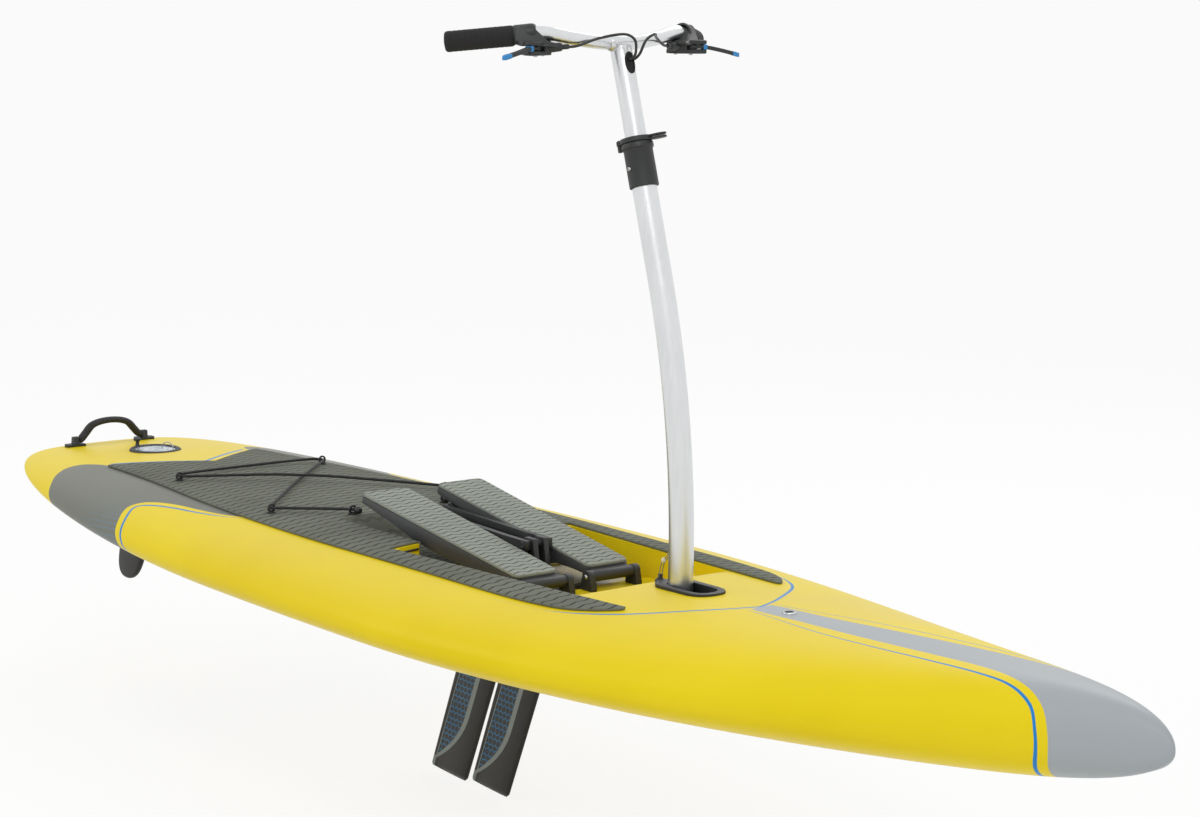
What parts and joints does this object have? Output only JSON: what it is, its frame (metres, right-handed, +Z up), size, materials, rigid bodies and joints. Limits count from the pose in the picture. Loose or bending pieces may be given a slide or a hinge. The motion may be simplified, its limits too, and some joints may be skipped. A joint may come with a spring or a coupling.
{
  "type": "stand-up pedal boat",
  "caption": "Stand-up pedal board: rigid hull with a deck well, step pedals that swing fins below the hull, a raked steering mast with a handlebar, and a stern rudder.",
  "frame": {"origin": "on the flat bottom panel of the hull, on the centreline, straight below the pivot at the foot of the mast", "axes": "+X to the bow, +Y to port, +Z up when the board floats level"},
  "size_m": [3.2, 0.8816, 1.4978],
  "materials": {
    "yellow_shell": "glossy moulded polyethylene skin, yellow with a grey nose and grey stern bands",
    "grey_foam": "matt EVA foam with moulded ridges",
    "black_nylon": "black glass-filled nylon",
    "charcoal_nylon": "dark grey moulded nylon",
    "black_rubber": "soft black rubber, braided cord or foam",
    "cream_plastic": "cream moulded acetal",
    "clear_plastic": "clear polycarbonate",
    "anodised": "satin silver anodised",
    "steel": "stainless steel"
  },
  "bodies": {
    "board": {"hull": "yellow_shell", "deck_pad": "grey_foam", "bow_vent": "steel", "mast_socket": "black_nylon", "mast_pin": "steel", "stay_fitting": "black_nylon", "stay_wire": "steel", "base_plate_s": "cream_plastic", "base_plate_p": "cream_plastic", "drive_spine": "black_nylon", "outer_bracket_s": "black_nylon", "outer_bracket_p": "black_nylon", "inner_bracket_s": "black_nylon", "inner_bracket_p": "black_nylon", "hatch_ring": "black_nylon", "hatch_lens": "clear_plastic", "handle_foot_s": "black_nylon", "handle_foot_p": "black_nylon", "handle_grip": "black_rubber", "deck_eye_1": "black_nylon", "deck_eye_2": "black_nylon", "deck_eye_3": "black_nylon", "deck_eye_4": "black_nylon", "deck_eye_5": "black_nylon", "deck_eye_6": "black_nylon", "bungee": "black_rubber"},
    "mast": {"mast_lower": "anodised", "mast_collar": "black_nylon"},
    "clamp": {"clamp_lever": "black_nylon"},
    "steering": {"mast_upper": "anodised", "handlebar": "anodised", "cable_grommet": "black_rubber", "grip_s": "black_rubber", "grip_p": "black_rubber", "lever_body_s": "black_nylon", "lever_body_p": "black_nylon", "steer_cable_s": "black_rubber", "steer_cable_p": "black_rubber"},
    "lever_starboard": {"steer_lever_s": "black_nylon"},
    "lever_port": {"steer_lever_p": "black_nylon"},
    "fin_front_body": {"fin_mast_front": "steel", "fin_front": "black_rubber"},
    "fin_rear_body": {"fin_mast_rear": "steel", "fin_rear": "black_rubber"},
    "pedal_starboard": {"pedal_s": "charcoal_nylon", "pedal_pad_s": "grey_foam", "hinge_tube_s": "black_nylon"},
    "pedal_port": {"pedal_p": "charcoal_nylon", "pedal_pad_p": "grey_foam", "hinge_tube_p": "black_nylon"},
    "crank_starboard": {"crank_arm_s": "black_nylon"},
    "crank_port": {"crank_arm_p": "black_nylon"},
    "roller_starboard": {"roller_s": "black_nylon"},
    "roller_port": {"roller_p": "black_nylon"},
    "latch_starboard": {"latch_s": "black_nylon"},
    "latch_port": {"latch_p": "black_nylon"},
    "rudder": {"rudder_blade": "black_nylon", "rudder_stock": "steel"},
    "knob": {"rudder_knob": "black_nylon"}
  },
  "joints": [
    {"name": "mast_fold", "type": "hinge", "parent": "board", "child": "mast", "pos_m": [0, 0, 0.128], "axis": [0, 1, 0], "range_deg": [0, 50]},
    {"name": "clamp_open", "type": "hinge", "parent": "mast", "child": "clamp", "pos_m": [-0.17189, -0.01864, 0.93271], "axis": [-0.2924, 0, 0.9563], "range_deg": [-100, 0]},
    {"name": "mast_height", "type": "slide", "parent": "mast", "child": "steering", "axis": [-0.2924, 0, 0.9563], "range_m": [-0.08, 0.07]},
    {"name": "steer_lever_starboard", "type": "hinge", "parent": "steering", "child": "lever_starboard", "pos_m": [-0.21364, -0.179, 1.10654], "axis": [0, 0, 1], "range_deg": [-20, 20]},
    {"name": "steer_lever_port", "type": "hinge", "parent": "steering", "child": "lever_port", "pos_m": [-0.21364, 0.179, 1.10654], "axis": [0, 0, 1], "range_deg": [-20, 20]},
    {"name": "rudder_turn", "type": "hinge", "parent": "board", "child": "rudder", "pos_m": [-1.82, 0, 0.06], "axis": [0, 0, 1], "range_deg": [-35, 35]},
    {"name": "fin_front_swing", "type": "hinge", "parent": "board", "child": "fin_front_body", "pos_m": [-0.35286, 0, 0.035], "axis": [1, 0, 0], "range_deg": [-50, 50]},
    {"name": "fin_rear_swing", "type": "hinge", "parent": "board", "child": "fin_rear_body", "pos_m": [-0.48786, 0, 0.035], "axis": [1, 0, 0], "range_deg": [-50, 50]},
    {"name": "pedal_starboard_hinge", "type": "hinge", "parent": "board", "child": "pedal_starboard", "pos_m": [-0.291, -0.08, 0.124], "axis": [0, 1, 0], "range_deg": [-6, 6]},
    {"name": "pedal_port_hinge", "type": "hinge", "parent": "board", "child": "pedal_port", "pos_m": [-0.291, 0.08, 0.124], "axis": [0, 1, 0], "range_deg": [-6, 6]},
    {"name": "crank_starboard_turn", "type": "hinge", "parent": "board", "child": "crank_starboard", "pos_m": [-0.42, -0.026, 0.168], "axis": [0, 1, 0], "range_deg": [-8.4, 8.4]},
    {"name": "crank_port_turn", "type": "hinge", "parent": "board", "child": "crank_port", "pos_m": [-0.42, 0.026, 0.168], "axis": [0, 1, 0], "range_deg": [-8.4, 8.4]},
    {"name": "roller_starboard_spin", "type": "hinge", "parent": "crank_starboard", "child": "roller_starboard", "pos_m": [-0.742, -0.054, 0.17948], "axis": [0, 1, 0], "continuous": true},
    {"name": "roller_port_spin", "type": "hinge", "parent": "crank_port", "child": "roller_port", "pos_m": [-0.742, 0.054, 0.17948], "axis": [0, 1, 0], "continuous": true},
    {"name": "latch_starboard_turn", "type": "hinge", "parent": "board", "child": "latch_starboard", "pos_m": [-0.528, -0.096, 0.101], "axis": [0, 0, 1], "range_deg": [0, 70]},
    {"name": "latch_port_turn", "type": "hinge", "parent": "board", "child": "latch_port", "pos_m": [-0.528, 0.096, 0.101], "axis": [0, 0, 1], "range_deg": [-70, 0]},
    {"name": "knob_turn", "type": "hinge", "parent": "board", "child": "knob", "pos_m": [-1.86886, -0.01778, 0.15], "axis": [0, 0, 1], "continuous": true}
  ],
  "couplings": [
    {"joint": "fin_rear_swing", "follows": "fin_front_swing", "ratio": -1},
    {"joint": "pedal_starboard_hinge", "follows": "fin_front_swing", "ratio": 0.12},
    {"joint": "pedal_port_hinge", "follows": "fin_front_swing", "ratio": -0.12},
    {"joint": "crank_starboard_turn", "follows": "fin_front_swing", "ratio": 0.168},
    {"joint": "crank_port_turn", "follows": "fin_front_swing", "ratio": -0.168},
    {"joint": "steer_lever_starboard", "follows": "rudder_turn", "ratio": -0.5714},
    {"joint": "steer_lever_port", "follows": "rudder_turn", "ratio": -0.5714}
  ]
}
